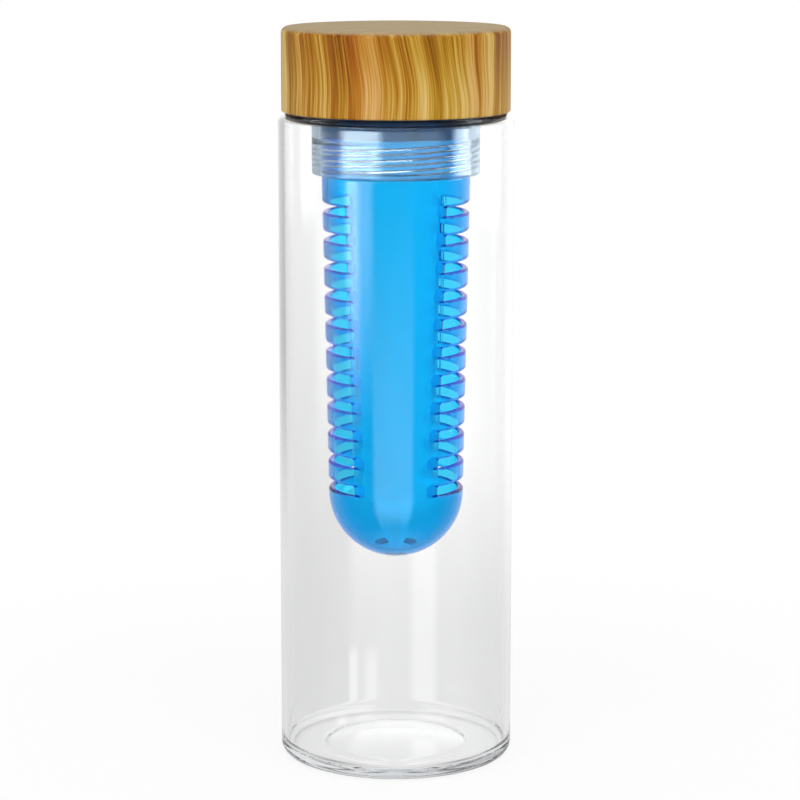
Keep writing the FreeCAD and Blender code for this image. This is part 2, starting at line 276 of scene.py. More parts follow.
class GeometryGraph(NodeGraph):
    """A Geometry Nodes tree with named inputs for its sizes."""

    def __init__(self, name: str, sizes: Sequence[str], counts: Sequence[str] = (),
                 objects: Sequence[str] = ()) -> None:
        """Start a tree with its inputs and its output.

        Args:
            name: The tree's name.
            sizes: The names of its number inputs.
            counts: The names of its whole-number inputs.
            objects: The names of its object inputs.
        """
        super().__init__(bpy.data.node_groups.new(name, "GeometryNodeTree"))
        face = self.tree.interface
        face.new_socket("Geometry", in_out="INPUT", socket_type="NodeSocketGeometry")
        groups = {"Float": sizes, "Int": counts, "Object": objects, "Material": ["Finish"]}
        for kind, labels in groups.items():
            for label in labels:
                face.new_socket(label, in_out="INPUT", socket_type=f"NodeSocket{kind}")
        face.new_socket("Geometry", in_out="OUTPUT", socket_type="NodeSocketGeometry")
        self.source = self.node("NodeGroupInput")

    def size(self, label: str) -> Link:
        """Give one of the tree's inputs."""
        return self.source.out(label)

    def mark(self, geometry: Link, name: str, where: Scalar) -> Link:
        """Store a number on each face, for the finish to read."""
        return self.node("GeometryNodeStoreNamedAttribute", {"data_type": "FLOAT", "domain": "FACE"}, {
            "Geometry": geometry, "Name": name, "Value": where})

    def close(self, geometry: Link) -> None:
        """End the tree: real geometry, in its finish.

        Args:
            geometry: What the tree has made.
        """
        real = self.node("GeometryNodeRealizeInstances", None, {"Geometry": geometry})
        dressed = self.node("GeometryNodeSetMaterial", None,
                            {"Geometry": real, "Material": self.size("Finish")})
        self.node("NodeGroupOutput", None, {"Geometry": dressed})

    def run(self, piece: bpy.types.Object, values: Mapping[str, Any]) -> None:
        """Run the tree on a piece and keep the result as its plain mesh.

        Args:
            piece: The object whose mesh goes in and is replaced.
            values: The tree's inputs by name.
        """
        modifier = piece.modifiers.new(self.tree.name, "NODES")
        modifier.node_group = self.tree
        keys = {item.name: item.identifier for item in self.tree.interface.items_tree
                if item.in_out == "INPUT"}
        for label, value in values.items():
            modifier[keys[label]] = value
        evaluated = piece.evaluated_get(bpy.context.evaluated_depsgraph_get())
        made = bpy.data.meshes.new_from_object(evaluated)
        piece.modifiers.remove(modifier)
        plain, piece.data = piece.data, made
        bpy.data.meshes.remove(plain)
        made.name = piece.name


class Corner(NamedTuple):
    """A corner of a profile, in millimetres. The step spaces points on the run to the next corner."""

    radius: float
    height: float
    rounding: float = 0.0
    step: float = 0.0


def cap_corners(rise: float, ring: float, level: float, steps: int = 24) -> list[Corner]:
    """Draw a shallow round cap, from the axis out to just before its ring.

    Args:
        rise: How far the middle stands above the ring.
        ring: The ring's radius.
        level: The ring's height.
        steps: How many chords the cap has.

    Returns:
        The corners, in order outwards.
    """
    sphere = (ring ** 2 + rise ** 2) / (2 * rise)
    radii = [ring * step / steps for step in range(steps)]
    centre = level + rise - sphere
    return [Corner(radius, centre + math.sqrt(sphere ** 2 - radius ** 2)) for radius in radii]


def dome_corners(radius: float, centre: float, lean: float, steps: int = 40) -> list[Corner]:
    """Draw a round end from its lowest point up to where a wall that leans outwards leaves it.

    Args:
        radius: The round end's radius.
        centre: The height of its centre.
        lean: The wall's draft, in radians.
        steps: How many chords the arc has.

    Returns:
        The corners, in order upwards.
    """
    sweep = math.pi / 2 - lean
    angles = [sweep * step / steps for step in range(steps + 1)]
    return [Corner(radius * math.sin(angle), centre - radius * math.cos(angle)) for angle in angles]


def rounded_corner(before: Corner, corner: Corner, after: Corner) -> list[Point]:
    """Replace a corner by points on its rounding arc.

    Args:
        before: The corner that the profile comes from.
        corner: The corner itself.
        after: The corner that the profile goes to.

    Returns:
        The arc's points, or the corner alone where it is sharp.
    """
    here = Vector((corner.radius, corner.height))
    if not corner.rounding:
        return [here.to_tuple()]
    back = (Vector((before.radius, before.height)) - here).normalized()
    on = (Vector((after.radius, after.height)) - here).normalized()
    half = back.angle(on) / 2
    centre = here + (back + on).normalized() * (corner.rounding / math.sin(half))
    reach = corner.rounding / math.tan(half)
    start, end = here + back * reach - centre, here + on * reach - centre
    sweep = start.angle_signed(end)
    steps = max(3, math.ceil(abs(sweep) / ARC_STEP))
    turned = []
    for step in range(steps + 1):
        turn = -sweep * step / steps
        turned.append((centre.x + start.x * math.cos(turn) - start.y * math.sin(turn),
                       centre.y + start.x * math.sin(turn) + start.y * math.cos(turn)))
    return turned


def profile_points(corners: Sequence[Corner]) -> list[Point]:
    """Draw a closed profile: rounded corners, and runs with the points that their shading or thread needs.

    Args:
        corners: The profile's corners in order.

    Returns:
        The profile's points, in millimetres.
    """
    count = len(corners)
    arcs = [rounded_corner(corners[index - 1], corners[index], corners[(index + 1) % count])
            for index in range(count)]
    points: list[Point] = []
    for index, corner in enumerate(corners):
        points += arcs[index]
        start, end = Vector(arcs[index][-1]), Vector(arcs[(index + 1) % count][0])
        length = (end - start).length
        if corner.step:
            parts = math.ceil(length / corner.step)
            shares = [part / parts for part in range(1, parts)]
        elif length > 4 * SUPPORT:
            shares = [SUPPORT / length, 1 - SUPPORT / length]
        else:
            shares = []
        points += [start.lerp(end, share).to_tuple() for share in shares]
    return points


def turned_piece(name: str, corners: Sequence[Corner]) -> bpy.types.Object:
    """Turn a closed profile about the bottle's axis.

    Args:
        name: The piece's name.
        corners: Its profile, in millimetres.

    Returns:
        The new object, at the origin.
    """
    mesh = bmesh.new()
    rings = []
    for radius, height in profile_points(corners):
        if radius < WALL_TOLERANCE:
            rings.append([mesh.verts.new((0, 0, height * MM))])
            continue
        angles = [2 * math.pi * segment / SEGMENTS for segment in range(SEGMENTS)]
        places = [(radius * math.cos(angle), radius * math.sin(angle), height) for angle in angles]
        rings.append([mesh.verts.new(MM * Vector(place)) for place in places])
    for first, second in zip(rings, rings[1:] + rings[:1]):
        if len(first) == len(second) == 1:
            continue
        for segment in range(SEGMENTS):
            on = (segment + 1) % SEGMENTS
            near = [first[0]] if len(first) == 1 else [first[segment], first[on]]
            far = [second[0]] if len(second) == 1 else [second[on], second[segment]]
            mesh.faces.new(near + far)
    bmesh.ops.recalc_face_normals(mesh, faces=mesh.faces)
    data = bpy.data.meshes.new(name)
    mesh.to_mesh(data)
    mesh.free()
    piece = bpy.data.objects.new(name, data)
    bpy.context.scene.collection.objects.link(piece)
    return piece


def hand_over(piece: bpy.types.Object, node: str, body: str) -> None:
    """Shade a finished piece and put it in its node's place.

    Args:
        piece: The finished object.
        node: The CAD node that it stands for.
        body: The body that it rides on.
    """
    piece.data.shade_smooth()
    piece.data.set_sharp_from_angle(angle=SHARP_ANGLE)
    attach(piece, body)
    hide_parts(node)
    LOG.info("%s: %d faces", piece.name, len(piece.data.polygons))


def node_reach(node: str) -> tuple[float, float, float]:
    """Measure a CAD node.

    Args:
        node: The node's name.

    Returns:
        Its outer radius, lowest height and highest height, in millimetres.
    """
    low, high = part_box(node)
    return high.x / MM, low.z / MM, high.z / MM


@dataclass(frozen=True)
class ClearPlastic:
    """A clear or tinted moulded plastic, which colours light by the depth that it passes through."""

    name: str
    slot: str
    surface: Colour
    kept: Colour
    depth: float
    haze: float
    smear: float
    ripple: float
    index: float = 1.55
    clearness: float = 1.0
    # Painted shade: a darker colour for the slots' cut faces, standing in for the dark outlines that light
    # bending at the slot edges gives.
    cut: Optional[Colour] = None
    # Painted light: a pale dull skin for the drain faces, standing in for the bright outlines that light
    # bending through the drains gives.
    drain_paint_colour: Colour = (0.9, 0.97, 1.0)
    inner_haze: float = 0.0
    gleam: Colour = (1.0, 1.0, 1.0)
    smear_scale: float = 70.0
    smear_stretch: Colour = (1.0, 1.0, 0.35)
    smear_range: Point = (0.45, 0.8)
    speck_scale: float = 900.0
    speck_share: float = 0.3
    ripple_scale: float = 45.0
    ripple_stretch: Colour = (1.0, 1.0, 0.2)
    veil: float = 0.97
    veil_range: Point = (0.4, 0.9)
    cut_haze: float = 0.06
    drain_paint_share: float = 0.8

    def material(self) -> bpy.types.Material:
        """Build the plastic: handling smears in its gloss, flow ripples in its surface, tint in its depth,
        and, where given, painted shade on cut faces and a painted pale skin on drain faces.

        Returns:
            The finished material.
        """
        graph = ShaderGraph(self.name)
        smears = graph.noise(graph.stretched(self.smear_stretch), self.smear_scale, 5, 0.6)
        specks = graph.noise(graph.place, self.speck_scale, 2)
        ripples = graph.noise(graph.stretched(self.ripple_stretch), self.ripple_scale, 1)
        smeared = self.smear * graph.smooth(smears, *self.smear_range)
        roughness = self.haze + smeared + self.smear * self.speck_share * specks
        losses = [-math.log(share) / (self.depth * MM) for share in self.kept]
        density = max(losses)
        volume = graph.node("ShaderNodeVolumeAbsorption", None, {
            "Color": (*(1 - loss / density for loss in losses), 1.0), "Density": density})
        veiled = tuple(share * self.veil for share in self.surface)
        tint = graph.blended(graph.smooth(smears, *self.veil_range), self.surface, veiled)
        painted_skin = None
        if self.cut:
            edges, inside, drains = [
                graph.node("ShaderNodeAttribute", {"attribute_name": mark}).out("Fac")
                for mark in (CUT_MARK, INNER_MARK, DRAIN_MARK)]
            # Painted shade: cut faces take the darker cut colour.
            tint = graph.blended(edges, tint, self.cut)
            roughness = roughness + self.cut_haze * edges + self.inner_haze * inside
            # Painted light on the drain faces: a pale dull skin in place of their bright refracted outlines.
            painted_skin = (drains * self.drain_paint_share, self.drain_paint_colour)
        return graph.close({
            "Base Color": tint,
            "Roughness": roughness,
            "IOR": self.index,
            "Transmission Weight": self.clearness,
            "Specular Tint": (*self.gleam, 1.0),
            "Normal": graph.bumped(ripples, self.ripple),
        }, volume, painted_skin)


class GrainLayer(NamedTuple):
    """One layer of a printed grain: its noise, and its share of the shade."""

    scale: float
    detail: float
    roughness: float
    share: float


@dataclass(frozen=True)
class WoodPrint:
    """A satin wood-effect print: upright, gently flowing grain, and a plain tan top."""

    name: str = "wood_effect_print"
    slot: str = "wood_effect"
    grain: tuple[tuple[float, Colour], ...] = (
        (0.16, (0.16, 0.04, 0.001)),
        (0.34, (0.31, 0.105, 0.003)),
        (0.50, (0.43, 0.20, 0.016)),
        (0.62, (0.53, 0.29, 0.05)),
        (0.82, (0.68, 0.43, 0.15)),
    )
    tan: Colour = (0.355, 0.268, 0.152)
    pale_tan: Colour = (0.42, 0.318, 0.185)
    top_level: float = 229.5
    top_edge: float = 1.4
    side_height: float = 26.0
    upright: Colour = (1.0, 1.0, 0.015)
    bands: GrainLayer = GrainLayer(120, 2, 0.5, 0.36)
    streaks: GrainLayer = GrainLayer(420, 4, 0.65, 0.38)
    lines: GrainLayer = GrainLayer(1500, 2, 0.6, 0.26)
    sway: float = 0.5
    sway_scale: float = 20.0
    contrast: float = 3.4
    middle: float = 0.44
    # Painted light: how much paler the grain is towards the lid's foot, for light from the floor below.
    painted_foot_light: float = 0.17
    hue: float = 0.504
    hue_drift: float = 0.07
    patch_scale: float = 70.0
    fleck_scale: float = 700.0
    fleck_stretch: Colour = (0.25, 1.0, 1.0)
    fleck_range: Point = (0.35, 0.7)
    dullness: float = 0.36
    streak_dullness: float = 0.10
    patch_dullness: float = 0.06
    top_dullness: float = 0.3
    relief: float = 0.04

    def material(self) -> bpy.types.Material:
        """Build the print: broad bands, streaks and fine lines that bend together, under a plain top.

        Returns:
            The finished material.
        """
        graph = ShaderGraph(self.name)
        parts = graph.node("ShaderNodeSeparateXYZ", None, {"Vector": graph.place})
        across, along, up = parts, parts.out("Y"), parts.out("Z")
        sway = (graph.noise(graph.place, self.sway_scale, 1) - 0.5) * self.sway
        flow = graph.node("ShaderNodeVectorMath", {"operation": "ADD"}, {
            0: graph.place, 1: graph.vector(along * sway * -1, across * sway)})
        upright = graph.stretched(self.upright, flow)
        bands, streaks, lines = [
            graph.noise(upright, layer.scale, layer.detail, layer.roughness)
            for layer in (self.bands, self.streaks, self.lines)]
        shade = self.bands.share * bands + self.streaks.share * streaks + self.lines.share * lines
        # Painted light: the grain is paler towards the lid's foot, standing in for light from the floor
        # below.
        foot = (self.top_level - self.side_height) * MM
        foot_light = self.painted_foot_light * (1 - graph.smooth(up, foot, self.top_level * MM))
        grain = graph.node("ShaderNodeValToRGB", {"stops": self.grain}, {
            "Fac": (shade - 0.5) * self.contrast + self.middle + foot_light})
        patches = graph.noise(upright, self.patch_scale, 1)
        side = graph.node("ShaderNodeHueSaturation", None, {
            "Hue": self.hue + self.hue_drift * (patches - 0.5), "Color": grain})
        fleck = graph.noise(graph.stretched(self.fleck_stretch), self.fleck_scale, 3, 0.6)
        top = graph.blended(graph.smooth(fleck, *self.fleck_range), self.tan, self.pale_tan)
        on_top = graph.smooth(up, (self.top_level - self.top_edge) * MM, (self.top_level - 0.2) * MM)
        patchy = graph.noise(graph.place, 160, 3)
        dull = self.dullness + self.streak_dullness * streaks + self.patch_dullness * patchy
        return graph.close({
            "Base Color": graph.blended(on_top, side, top),
            "Roughness": dull + self.top_dullness * on_top,
            "IOR": 1.45,
            "Specular IOR Level": 0.15,
            "Normal": graph.bumped(lines * 0.4 + streaks * 0.6, self.relief, 0.3),
        })


@dataclass(frozen=True)
class DarkSatin:
    """A dark moulded plastic with a fine spark-eroded grain."""

    name: str = "dark_satin_plastic"
    slot: str = "dark_liner"
    colour: Colour = (0.010, 0.022, 0.055)
    rubbed: Colour = (0.026, 0.045, 0.09)
    # Painted blue light: the spigot is dark plastic, and this blue on it stands in for the basket's blue
    # light seen behind the collar.
    spigot: Colour = (0.03, 0.30, 0.70)
    painted_blue_reach: float = 23.8
    grain_scale: float = 2600.0
    wear_scale: float = 120.0
    wear_range: Point = (0.5, 0.75)
    wear_share: float = 0.5
    dullness: float = 0.3
    grain_dullness: float = 0.14
    wear_dullness: float = 0.08
    relief: float = 0.02

    def material(self) -> bpy.types.Material:
        """Build the plastic: fine grain, uneven gloss, lighter rubbed patches, and painted blue light on the
        spigot, which stands in for the basket's blue light seen there.

        Returns:
            The finished material.
        """
        graph = ShaderGraph(self.name)
        parts = graph.node("ShaderNodeSeparateXYZ", None, {"Vector": graph.place})
        radius = graph.math("SQRT", parts * parts + parts.out("Y") * parts.out("Y"))
        # Painted light: inside the given radius the dark skin is painted blue, for the basket's blue light on
        # the spigot.
        skin = graph.blended(radius < self.painted_blue_reach * MM, self.colour, self.spigot)
        grain = graph.noise(graph.place, self.grain_scale, 3, 0.6)
        patches = graph.noise(graph.stretched((1, 1, 0.5)), self.wear_scale, 4, 0.6)
        wear = graph.smooth(patches, *self.wear_range)
        return graph.close({
            "Base Color": graph.blended(wear * self.wear_share, skin, self.rubbed),
            "Roughness": self.dullness + self.grain_dullness * grain + self.wear_dullness * wear,
            "IOR": 1.5,
            "Normal": graph.bumped(grain, self.relief, 0.4),
        })


@dataclass(frozen=True)
class SoftSilicone:
    """A soft white silicone with a dull, slightly dusty skin."""

    name: str = "white_silicone"
    slot: str = "silicone"
    colour: Colour = (0.78, 0.80, 0.81)
    dusty: Colour = (0.66, 0.67, 0.67)
    bloom_scale: float = 240.0
    bloom_range: Point = (0.42, 0.72)
    bloom_share: float = 0.6
    skin_scale: float = 1800.0
    dullness: float = 0.48
    bloom_dullness: float = 0.16
    softness: float = 0.35
    soft_depth: float = 1.5
    relief: float = 0.015

    def material(self) -> bpy.types.Material:
        """Build the silicone: a dusty bloom over a dull skin.

        Returns:
            The finished material.
        """
        graph = ShaderGraph(self.name)
        bloom = graph.smooth(graph.noise(graph.place, self.bloom_scale, 4, 0.65), *self.bloom_range)
        skin = graph.noise(graph.place, self.skin_scale, 2)
        return graph.close({
            "Base Color": graph.blended(bloom * self.bloom_share, self.colour, self.dusty),
            "Roughness": self.dullness + self.bloom_dullness * bloom,
            "IOR": 1.41,
            "Subsurface Weight": self.softness,
            "Subsurface Scale": self.soft_depth * MM,
            "Normal": graph.bumped(skin, self.relief, 0.4),
        })


def thread_tree() -> GeometryGraph:
    """Build the tree that raises a right-hand screw thread on a turned wall.

    Returns:
        A tree that moves the wall's points in or out where the thread's ridges run.
    """
    graph = GeometryGraph("screw_thread", ["Wall", "Low", "High", "Lead", "Starts", "Depth", "Phase"])
    place = graph.node("GeometryNodeInputPosition")
    parts = graph.node("ShaderNodeSeparateXYZ", None, {"Vector": place})
    across, along, up = parts, parts.out("Y"), parts.out("Z")
    radius = graph.math("SQRT", across * across + along * along)
    turn = graph.math("ARCTAN2", along, across) / (2 * math.pi)
    course = (up / graph.size("Lead") - turn) * graph.size("Starts") + graph.size("Phase")
    off_crest = abs(graph.math("FRACT", course) - 0.5) * 2
    runout = graph.size("Lead") * THREAD_RUNOUT
    low, high = graph.size("Low"), graph.size("High")
    fade = graph.smooth(up, low, low + runout) * (1 - graph.smooth(up, high - runout, high))
    height = (1 - graph.smooth(off_crest, *THREAD_FLANK)) * fade * graph.size("Depth")
    on_wall = abs(radius - graph.size("Wall")) < WALL_TOLERANCE * MM
    moved = graph.node("GeometryNodeSetPosition", None, {
        "Geometry": graph.size("Geometry"), "Selection": on_wall,
        "Offset": graph.vector(across / radius * height, along / radius * height)})
    graph.close(moved)
    return graph


def slot_tree() -> GeometryGraph:
    """Build the tree that cuts the basket's rows of slots and its drains.

    The slot's template is flat: its X is the depth from the wall's outside, on top of a datum. The tree bends
    each copy round the tapered wall.

    Returns:
        A tree that takes a turned basket and gives it back slotted, with its cut faces marked.
    """
    graph = GeometryGraph(
        "basket_slots",
        ["Datum", "Shoulder Radius", "Shoulder Level", "Taper", "Wall", "First Level", "Pitch", "Round Level",
         "Panel Width", "Drain Circle", "Drain Width", "Drain Angle", "Drain Low", "Drain High"],
        ["Slots", "Drains"], ["Template"])
    place = graph.node("ShaderNodeSeparateXYZ", None, {"Vector": graph.node("GeometryNodeInputPosition")})
    across, along, up = place, place.out("Y"), place.out("Z")
    wall_radius = graph.size("Shoulder Radius") - (graph.size("Shoulder Level") - up) * graph.size("Taper")
    levels = graph.node("GeometryNodeMeshLine", None, {
        "Count": graph.size("Slots"), "Start Location": graph.vector(up=graph.size("First Level")),
        "Offset": graph.vector(up=graph.size("Pitch") * -1)})
    template = graph.node("GeometryNodeObjectInfo", None, {"Object": graph.size("Template")}).out("Geometry")
    rows = [graph.node("GeometryNodeInstanceOnPoints", None, {
        "Points": levels, "Instance": template, "Rotation": (0.0, 0.0, turn)}) for turn in (0.0, math.pi)]
    flat = graph.node("GeometryNodeRealizeInstances", None, {
        "Geometry": graph.node("GeometryNodeJoinGeometry", None, {"Geometry": rows})})
    reach = wall_radius + abs(across) - graph.size("Datum")
    bent = graph.math("SQRT", reach * reach - along * along) * graph.math("SIGN", across)
    slots = graph.node("GeometryNodeSetPosition", None, {
        "Geometry": flat, "Position": graph.vector(bent, along, up)})
    arc = graph.node("GeometryNodeCurveArc", None, {
        "Resolution": DRAIN_CHORDS, "Radius": graph.size("Drain Circle"),
        "Start Angle": graph.size("Drain Angle") * -0.5 - math.pi / 2,
        "Sweep Angle": graph.size("Drain Angle")})
    drain_high, drain_low = graph.size("Drain High"), graph.size("Drain Low")
    section = graph.node("GeometryNodeCurvePrimitiveQuadrilateral", None, {
        "Width": graph.size("Drain Width"), "Height": drain_high - drain_low})
    bar = graph.node("GeometryNodeTransform", None, {
        "Geometry": graph.node("GeometryNodeCurveToMesh", None, {
            "Curve": arc, "Profile Curve": section, "Fill Caps": True}),
        "Translation": graph.vector(up=(drain_high + drain_low) * 0.5)})
    centres = graph.node("GeometryNodeMeshLine", None, {"Count": graph.size("Drains"), "Offset": (0, 0, 0)})
    index = graph.node("GeometryNodeInputIndex")
    drains = graph.node("GeometryNodeRealizeInstances", None, {
        "Geometry": graph.node("GeometryNodeInstanceOnPoints", None, {
            "Points": centres, "Instance": bar,
            "Rotation": graph.vector(up=index * (2 * math.pi) / graph.size("Drains"))})})
    cutters = graph.node("GeometryNodeJoinGeometry", None, {"Geometry": [slots, drains]})
    cut = graph.node("GeometryNodeMeshBoolean", {"operation": "DIFFERENCE", "solver": "EXACT"}, {
        "Mesh 1": graph.size("Geometry"), "Mesh 2": cutters})
    radius = graph.math("SQRT", across * across + along * along)
    depth = wall_radius - radius
    skin = WALL_TOLERANCE * MM
    first, pitch = graph.size("First Level"), graph.size("Pitch")
    last = first - pitch * (graph.size("Slots") - 1)
    in_rows = (up < first + pitch * ROW_MARGIN) * (up > last - pitch * ROW_MARGIN)
    slotted = (depth > skin) * (depth < graph.size("Wall") - skin) * in_rows
    facing = graph.node("ShaderNodeSeparateXYZ", None, {"Vector": graph.node("GeometryNodeInputNormal")})
    outwards = across * facing + along * facing.out("Y")
    on_panel = (abs(across) < graph.size("Panel Width") * 0.5) * (up > graph.size("Round Level"))
    steep = abs(facing.out("Z")) < STEEP_FACE
    drained = steep * (up < drain_high) * (radius < graph.size("Drain Circle") * DRAIN_REACH)
    marked = graph.mark(cut, CUT_MARK, slotted)
    marked = graph.mark(marked, INNER_MARK, (outwards < 0.0) * on_panel)
    graph.close(graph.mark(marked, DRAIN_MARK, drained))
    return graph


def rib_tree() -> GeometryGraph:
    """Build the tree that stands ribs round a turned skirt.

    Returns:
        A tree that takes the turned liner and gives it back ribbed.
    """
    graph = GeometryGraph("liner_ribs", ["Inner", "Outer", "Width", "Low", "High"], ["Ribs"])
    inner, outer = graph.size("Inner"), graph.size("Outer")
    low, high = graph.size("Low"), graph.size("High")
    rib = graph.node("GeometryNodeTransform", None, {
        "Geometry": graph.node("GeometryNodeMeshCube", None, {
            "Size": graph.vector(outer - inner, graph.size("Width"), high - low)}),
        "Translation": graph.vector((outer + inner) * 0.5, 0.0, (high + low) * 0.5)})
    centres = graph.node("GeometryNodeMeshLine", None, {"Count": graph.size("Ribs"), "Offset": (0, 0, 0)})
    index = graph.node("GeometryNodeInputIndex")
    ribs = graph.node("GeometryNodeRealizeInstances", None, {
        "Geometry": graph.node("GeometryNodeInstanceOnPoints", None, {
            "Points": centres, "Instance": rib,
            "Rotation": graph.vector(up=index * (2 * math.pi) / graph.size("Ribs"))})})
    joined = graph.node("GeometryNodeMeshBoolean", {"operation": "UNION", "solver": "EXACT"}, {
        "Mesh 2": [graph.size("Geometry"), ribs]})
    graph.close(joined)
    return graph


@dataclass(frozen=True)
class ScrewThread:
    """A two-start right-hand thread on one wall."""

    wall: float
    low: float
    high: float
    depth: float
    side: Thread
    phase: float
    lead: float = 6.6
    starts: int = 2

    def cut(self, piece: bpy.types.Object, tree: GeometryGraph, finish: bpy.types.Material) -> None:
        """Raise the thread on a turned piece.

        Args:
            piece: The piece, with close rings on the wall.
            tree: The thread's tree.
            finish: The piece's material.
        """
        tree.run(piece, {
            "Wall": self.wall * MM, "Low": self.low * MM, "High": self.high * MM, "Lead": self.lead * MM,
            "Starts": float(self.starts), "Depth": self.depth * self.side.value * MM, "Phase": self.phase,
            "Finish": finish})


@dataclass
class ClearBottle:
    """The clear bottle with its threaded neck and pushed-up base."""

    finish: ClearPlastic
    shoulder: float = 203.2
    wall: float = 2.0
    shoulder_wall: float = 2.0
    floor_wall: float = 3.0
    neck_radius: float = 28.8
    neck_bore: float = 26.6
    pushup_radius: float = 22.5
    pushup_depth: float = 3.0
    pushup_blend: float = 6.0
    base_corner: float = 3.0
    floor_corner: float = 3.0
    shoulder_corner: float = 3.2
    shoulder_inner_corner: float = 1.2
    neck_root: float = 0.8
    rim_corner: float = 0.6
    bore_corner: float = 0.3
    thread_levels: Point = (204.6, 215.6)
    thread_depth: float = 1.0

    def corners(self) -> list[Corner]:
        """Draw the bottle's profile, up the outside and down the inside.

        Returns:
            The profile's corners.
        """
        radius, base, rim = node_reach("bottle_body")
        inside = radius - self.wall
        under = self.shoulder - self.shoulder_wall
        outer_cap = cap_corners(self.pushup_depth, self.pushup_radius, base)
        inner_cap = cap_corners(self.pushup_depth, self.pushup_radius, base + self.floor_wall)
        return outer_cap + [
            Corner(self.pushup_radius, base, self.pushup_blend),
            Corner(radius, base, self.base_corner),
            Corner(radius, self.shoulder, self.shoulder_corner),
            Corner(self.neck_radius, self.shoulder, self.neck_root, THREAD_STEP),
            Corner(self.neck_radius, rim, self.rim_corner),
            Corner(self.neck_bore, rim, self.rim_corner),
            Corner(self.neck_bore, under, self.bore_corner),
            Corner(inside, under, self.shoulder_inner_corner),
            Corner(inside, base + self.floor_wall, self.floor_corner),
            Corner(self.pushup_radius, base + self.floor_wall, self.pushup_blend),
        ] + inner_cap[::-1]

    def build(self, threads: GeometryGraph) -> None:
        """Make the bottle, cut its thread and dress it.

        Args:
            threads: The tree that raises threads.
        """
        piece = turned_piece("clear_bottle", self.corners())
        thread = ScrewThread(
            self.neck_radius, *self.thread_levels, self.thread_depth, Thread.OUTSIDE, NECK_PHASE)
        thread.cut(piece, threads, self.finish.material())
        hand_over(piece, "bottle_body", "bottle")


@dataclass
class ScrewLid:
    """The lid: wood-effect shell, dark threaded liner with its spigot, and the clear hanging collar."""

    print_finish: WoodPrint
    liner_finish: DarkSatin
    collar_finish: ClearPlastic
    shell_wall: float = 1.5
    shell_top: float = 2.0
    skirt_radius: float = 32.0
    skirt_wall: float = 1.6
    lip_height: float = 4.0
    plate: float = 2.0
    spigot_radius: float = 23.3
    spigot_wall: float = 2.0
    rib_width: float = 1.4
    ribs: int = 12
    collar_wall: float = 2.7
    shell_top_corner: float = 2.0
    shell_foot_corner: float = 0.6
    shell_inner_foot: float = 0.3
    shell_inner_corner: float = 1.0
    lip_drop: float = 0.32
    lip_top_corner: float = 0.2
    liner_corner: float = 0.3
    tip_corner: float = 0.4
    rib_sink: float = 0.5
    thread_levels: Point = (206.4, 217.4)
    thread_depth: float = 1.0
    collar_foot_corner: float = 0.5
    collar_top_corner: float = 0.3
    collar_thread_margin: float = 0.8
    collar_thread_top: float = 195.8
    collar_thread_depth: float = 0.65

    def build_shell(self) -> None:
        """Make the wood-effect cup."""
        radius, low, high = node_reach("lid_shell")
        inside, under = radius - self.shell_wall, high - self.shell_top
        piece = turned_piece("wood_lid_shell", [
            Corner(0, high),
            Corner(radius, high, self.shell_top_corner),
            Corner(radius, low, self.shell_foot_corner),
            Corner(inside, low, self.shell_inner_foot),
            Corner(inside, under, self.shell_inner_corner),
            Corner(0, under),
        ])
        piece.data.materials.append(self.print_finish.material())
        hand_over(piece, "lid_shell", "lid")

    def build_liner(self, threads: GeometryGraph, rib_cutter: GeometryGraph) -> None:
        """Make the dark liner with its plate, threaded skirt, lip, spigot and ribs.

        Args:
            threads: The tree that raises threads.
            rib_cutter: The tree that stands ribs.
        """
        lip, spigot_low, high = node_reach("lid_liner")
        under = high - self.plate
        skirt_inside = self.skirt_radius - self.skirt_wall
        spigot_bore = self.spigot_radius - self.spigot_wall
        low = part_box("lid_shell")[0].z / MM - self.lip_drop
        piece = turned_piece("dark_lid_liner", [
            Corner(0, high),
            Corner(self.skirt_radius, high, self.liner_corner),
            Corner(self.skirt_radius, low + self.lip_height, self.liner_corner),
            Corner(lip, low + self.lip_height, self.lip_top_corner),
            Corner(lip, low, self.tip_corner),
            Corner(skirt_inside, low, self.liner_corner, THREAD_STEP),
            Corner(skirt_inside, under, self.liner_corner),
            Corner(self.spigot_radius, under, self.liner_corner),
            Corner(self.spigot_radius, spigot_low, self.tip_corner),
            Corner(spigot_bore, spigot_low, self.tip_corner),
            Corner(spigot_bore, under, self.liner_corner),
            Corner(0, under),
        ])
        finish = self.liner_finish.material()
        thread = ScrewThread(skirt_inside, *self.thread_levels, self.thread_depth, Thread.INSIDE, LID_PHASE)
        thread.cut(piece, threads, finish)
        rib_cutter.run(piece, {
            "Inner": (self.skirt_radius - self.skirt_wall / 2) * MM, "Outer": lip * MM,
            "Width": self.rib_width * MM, "Low": (low + self.lip_height - self.rib_sink) * MM,
            "High": high * MM, "Ribs": self.ribs, "Finish": finish})
        hand_over(piece, "lid_liner", "lid")

    def build_collar(self, threads: GeometryGraph) -> None:
        """Make the clear tube that hangs from the spigot and takes the basket's neck.

        Args:
            threads: The tree that raises threads.
        """
        radius, low, high = node_reach("infuser_collar")
        bore = radius - self.collar_wall
        piece = turned_piece("clear_collar", [
            Corner(radius, low, self.collar_foot_corner),
            Corner(radius, high, self.collar_top_corner),
            Corner(bore, high, self.collar_top_corner, THREAD_STEP),
            Corner(bore, low, self.collar_foot_corner),
        ])
        thread = ScrewThread(bore, low + self.collar_thread_margin, self.collar_thread_top,
                             self.collar_thread_depth, Thread.INSIDE, LID_PHASE)
        thread.cut(piece, threads, self.collar_finish.material())
        hand_over(piece, "infuser_collar", "lid")


@dataclass
class MouthSeal:
    """The soft sealing ring between the neck's rim and the lid's plate."""

    finish: SoftSilicone
    hole: float = 26.5
    corner: float = 0.5

    def build(self) -> None:
        """Make the ring."""
        radius, low, high = node_reach("mouth_gasket")
        piece = turned_piece("silicone_seal", [
            Corner(self.hole, low, self.corner),
            Corner(radius, low, self.corner),
            Corner(radius, high, self.corner),
            Corner(self.hole, high, self.corner),
        ])
        piece.data.materials.append(self.finish.material())
        hand_over(piece, "mouth_gasket", "seal")


